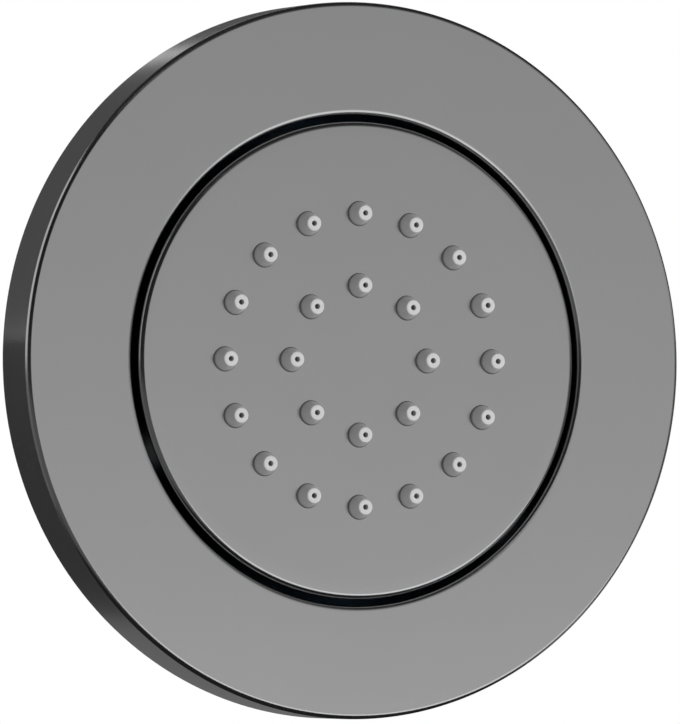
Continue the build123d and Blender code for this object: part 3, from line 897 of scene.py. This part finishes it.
class BODYJET_OT_locknut(Operator):
    """Make the hexagon locknut, with its corners turned off at the back"""

    bl_idname = "bodyjet.locknut"
    bl_label = "Locknut"

    def execute(self, context):
        low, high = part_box("inlet_locknut")
        bore = rings("inlet_locknut", low.y, high.y)[0]
        corner = rings("inlet_locknut", low.y, low.y)[-1]
        turned = rings("inlet_locknut", high.y, high.y)[-1]
        chamfer = high.y - depths("inlet_locknut", corner)[-1]
        section = [
            (bore, low.y), (corner, low.y), (corner, high.y - chamfer), (turned, high.y), (bore, high.y)]
        bm = bmesh.new()
        turn(bm, draw_section(bm, section), FITTING_STEPS)
        side = math.tau / HEXAGON_SIDES
        for vert in bm.verts:
            radius = from_axis(vert.co)
            if radius < bore + NEAR:
                continue
            across = math.atan2(vert.co.z, vert.co.x) % side - side / 2
            hexagon = corner * math.cos(side / 2) / math.cos(across)
            if low.y + NEAR < vert.co.y < high.y - NEAR:
                vert.co.y = high.y - chamfer * max(0, hexagon - turned) / (corner - turned)
            set_radius(vert, min(hexagon, radius))
        finish = bpy.data.materials[BRASS]
        to_piece(bm, "hexagon_locknut", "wall_body", finish, "inlet_locknut")
        return {"FINISHED"}


class BODYJET_OT_kept_solids(Operator):
    """Give the solids that show as they are their finishes"""

    bl_idname = "bodyjet.kept_solids"
    bl_label = "Inner Pieces"

    def execute(self, context):
        finishes = kept_finishes(context.scene.bodyjet_finish)
        for subpart in frame["record"]["subparts"]:
            solid = frame["nodes"][subpart["node"]]
            finish = finishes.get(subpart["material_slot"])
            if finish and not solid.hide_render:
                solid.data.materials.clear()
                solid.data.materials.append(finish)
        return {"FINISHED"}


# Cards from black to white round the jet, which show only in its shine:
# name, azimuths and elevations in degrees, distance and brightness
CARDS = (
    ("ceiling_card", (0, 360), (44, 89), 1.3, 0.03),
    ("upper_card", (-3, 80), (30, 44), 1.3, 0.07),
    ("brow_card", (-3, 80), (20, 30), 1.3, 0.22),
    ("front_top_card", (-3, 80), (10, 20), 1.3, 0.42),
    ("front_high_card", (-3, 80), (3, 10), 1.3, 0.48),
    ("front_card", (-3, 42), (-3, 3), 1.3, 0.55),
    ("front_low_card", (-3, 42), (-16, -3), 1.3, 0.69),
    ("floor_card", (-3, 50), (-34, -16), 0.42, 1.25),
    ("front_right_card", (42, 64), (-28, 3), 1.3, 0.22),
    ("upper_right_card", (80, 140), (4, 44), 1.3, 0.02),
    ("right_card", (64, 95), (-28, 4), 0.45, 0.05),
    ("rear_right_card", (95, 135), (-28, 4), 0.45, 0.3),
    ("right_low_card", (55, 135), (-42, -28), 0.33, 0.2),
    ("camera_card", (-78, -3), (-5, 44), 0.4, 0.02),
    ("camera_low_card", (-78, -3), (-42, -5), 0.33, 0.13),
    ("left_card", (-135, -78), (-0.5, 44), 0.6, 0.75),
    ("left_low_card", (-135, -78), (-30, -0.5), 0.4, 0.18),
    ("left_under_card", (-135, -78), (-42, -30), 0.33, 0.06),
    ("wall_low_card", (170, 225), (-40, 4), 0.35, 0.05),
    ("wall_high_card", (170, 225), (4, 44), 0.9, 0.10),
    ("wall_right_card", (135, 170), (-2, 44), 0.4, 0.10),
    ("wall_right_low_card", (135, 188), (-40, -2), 0.33, 0.19),
    ("under_card", (0, 360), (-90, -40), 0.24, 0.02),
)


def toward(azimuth, elevation):
    """The direction from the jet to a place round it, azimuth 0 in front and positive to the right."""
    level = math.cos(elevation)
    return Vector((math.sin(azimuth) * level, -math.cos(azimuth) * level, math.sin(elevation)))


def add_card(name, azimuths, elevations, distance, brightness):
    """A curved card that is seen in reflections and nowhere else."""
    west, east = (math.radians(a) for a in azimuths)
    bottom, top = (math.radians(e) for e in elevations)
    bm = bmesh.new()
    corner = bm.verts.new(distance * toward(0, bottom))
    spin(bm, [corner], CARD_ROWS, top - bottom, axis=(-1, 0, 0))
    bmesh.ops.rotate(bm, verts=bm.verts, cent=ORIGIN, matrix=Matrix.Rotation(west, 3, "Z"))
    spin(bm, bm.verts[:] + bm.edges[:], CARD_COLUMNS, east - west, axis=(0, 0, 1))
    bmesh.ops.remove_doubles(bm, verts=bm.verts, dist=MERGE)
    material = bpy.data.materials.new(name)
    material.use_nodes = True
    tree = material.node_tree
    glow = tree.nodes.new("ShaderNodeEmission")
    glow.inputs["Strength"].default_value = brightness
    tree.links.new(glow.outputs[0], tree.nodes["Material Output"].inputs["Surface"])
    card = to_object(bm, name, material)
    card.visible_camera = False
    card.visible_diffuse = False
    card.visible_transmission = False
    card.visible_shadow = False


def add_lamp(name, azimuth, elevation, distance, size, power):
    """A square soft lamp that points at the jet."""
    light = bpy.data.lights.new(name, "AREA")
    light.energy = power
    light.size = size
    lamp = bpy.data.objects.new(name, light)
    bpy.context.scene.collection.objects.link(lamp)
    out = toward(math.radians(azimuth), math.radians(elevation))
    lamp.location = distance * out
    lamp.rotation_mode = "QUATERNION"
    lamp.rotation_quaternion = (-out).to_track_quat("-Z", "Y")
    lamp.visible_camera = False
    lamp.visible_glossy = False


def seen_directly(tree):
    """1 for rays from the camera or a reflection, 0 for the light that falls on things."""
    path = tree.nodes.new("ShaderNodeLightPath")
    total = path.outputs["Is Camera Ray"]
    for other in ("Is Glossy Ray", "Is Transmission Ray"):
        total = add_math(tree, "MAXIMUM", total, path.outputs[other])
    return total


def show_mix(tree, factor, first, second, output):
    """Send a mix of two shaders to the output."""
    mix = tree.nodes.new("ShaderNodeMixShader")
    for source, socket in zip((factor, first.outputs[0], second.outputs[0]), mix.inputs):
        tree.links.new(source, socket)
    tree.links.new(mix.outputs[0], output.inputs["Surface"])


def add_room(settings):
    """A white room: white where it is seen, softer as a light."""
    world = bpy.data.worlds.new("white_room")
    bpy.context.scene.world = world
    world.use_nodes = True
    tree = world.node_tree
    tree.nodes.clear()
    light = tree.nodes.new("ShaderNodeBackground")
    light.inputs["Color"].default_value = (1, 1, 1, 1)
    light.inputs["Strength"].default_value = settings.fill
    white = tree.nodes.new("ShaderNodeBackground")
    white.inputs["Color"].default_value = (1, 1, 1, 1)
    white.inputs["Strength"].default_value = 1.0
    output = tree.nodes.new("ShaderNodeOutputWorld")
    show_mix(tree, seen_directly(tree), light, white, output)


def add_floor(settings):
    """A pale round floor below the jet that keeps a soft shadow."""
    bm = bmesh.new()
    bmesh.ops.create_circle(bm, cap_ends=True, segments=FLOOR_STEPS, radius=settings.floor_radius)
    bmesh.ops.translate(bm, verts=bm.verts, vec=(0, 0, -settings.floor_drop))
    material = bpy.data.materials.new("floor")
    material.use_nodes = True
    tree = material.node_tree
    tree.nodes.clear()
    matt = tree.nodes.new("ShaderNodeBsdfDiffuse")
    matt.inputs["Color"].default_value = (*[settings.floor_shade] * 3, 1)
    white = tree.nodes.new("ShaderNodeEmission")
    white.inputs["Strength"].default_value = 1.0
    output = tree.nodes.new("ShaderNodeOutputMaterial")
    share = add_math(tree, "MULTIPLY", seen_directly(tree), settings.floor_white)
    show_mix(tree, share, matt, white, output)
    floor = to_object(bm, "floor", material)


def add_camera(settings):
    """The camera, at the photograph's place."""
    out = toward(settings.azimuth, settings.elevation)
    right = Vector((math.cos(settings.azimuth), math.sin(settings.azimuth), 0))
    up = right.cross(-out)
    aim = settings.aim_right * right + settings.aim_up * up
    lens = bpy.data.cameras.new("camera")
    lens.lens = settings.lens
    camera = bpy.data.objects.new("camera", lens)
    bpy.context.scene.collection.objects.link(camera)
    camera.location = settings.distance * out
    camera.rotation_mode = "QUATERNION"
    camera.rotation_quaternion = (aim - camera.location).to_track_quat("-Z", "Y")
    lens.clip_start = CLIP_NEAR
    lens.clip_end = CLIP_FAR
    bpy.context.scene.camera = camera


class BODYJET_OT_stage(Operator):
    """Set up the floor, the white room, the lamps, the cards and the camera"""

    bl_idname = "bodyjet.stage"
    bl_label = "Stage"

    def execute(self, context):
        settings = context.scene.bodyjet_stage
        context.scene.view_settings.view_transform = "Standard"
        add_room(settings)
        add_floor(settings)
        for card in CARDS:
            add_card(*card)
        add_lamp("key_lamp", *KEY_LAMP, settings.key_power)
        add_lamp("rear_lamp", *REAR_LAMP, settings.rear_power)
        add_camera(settings)
        return {"FINISHED"}


class BODYJET_PT_pieces(Panel):
    """Lists what dresses the body jet"""

    bl_label = "Body Jet"
    bl_idname = "BODYJET_PT_pieces"
    bl_space_type = "VIEW_3D"
    bl_region_type = "UI"
    bl_category = "Body Jet"

    def draw(self, context):
        scene = context.scene
        for operator in OPERATORS:
            self.layout.operator(operator.bl_idname)
        for settings in (scene.bodyjet_shape, scene.bodyjet_finish, scene.bodyjet_stage):
            box = self.layout.box()
            for name in settings.__annotations__:
                box.prop(settings, name)


SETTINGS = (JetShapeSettings, JetFinishSettings, JetStageSettings)
OPERATORS = (
    BODYJET_OT_flange,
    BODYJET_OT_face_plate,
    BODYJET_OT_nozzle_mat,
    BODYJET_OT_wall_seal,
    BODYJET_OT_recess_cup,
    BODYJET_OT_inlet_body,
    BODYJET_OT_locknut,
    BODYJET_OT_kept_solids,
    BODYJET_OT_stage,
)


def register():
    for item in (*SETTINGS, *OPERATORS, BODYJET_PT_pieces):
        bpy.utils.register_class(item)
    bpy.types.Scene.bodyjet_shape = PointerProperty(type=JetShapeSettings)
    bpy.types.Scene.bodyjet_finish = PointerProperty(type=JetFinishSettings)
    bpy.types.Scene.bodyjet_stage = PointerProperty(type=JetStageSettings)


def unregister():
    del bpy.types.Scene.bodyjet_shape
    del bpy.types.Scene.bodyjet_finish
    del bpy.types.Scene.bodyjet_stage
    for item in reversed((*SETTINGS, *OPERATORS, BODYJET_PT_pieces)):
        bpy.utils.unregister_class(item)


def main():
    register()
    bpy.ops.bodyjet.flange()
    bpy.ops.bodyjet.face_plate()
    bpy.ops.bodyjet.nozzle_mat()
    bpy.ops.bodyjet.wall_seal()
    bpy.ops.bodyjet.recess_cup()
    bpy.ops.bodyjet.inlet_body()
    bpy.ops.bodyjet.locknut()
    bpy.ops.bodyjet.kept_solids()
    bpy.ops.bodyjet.stage()


if __name__ == "__main__":
    main()
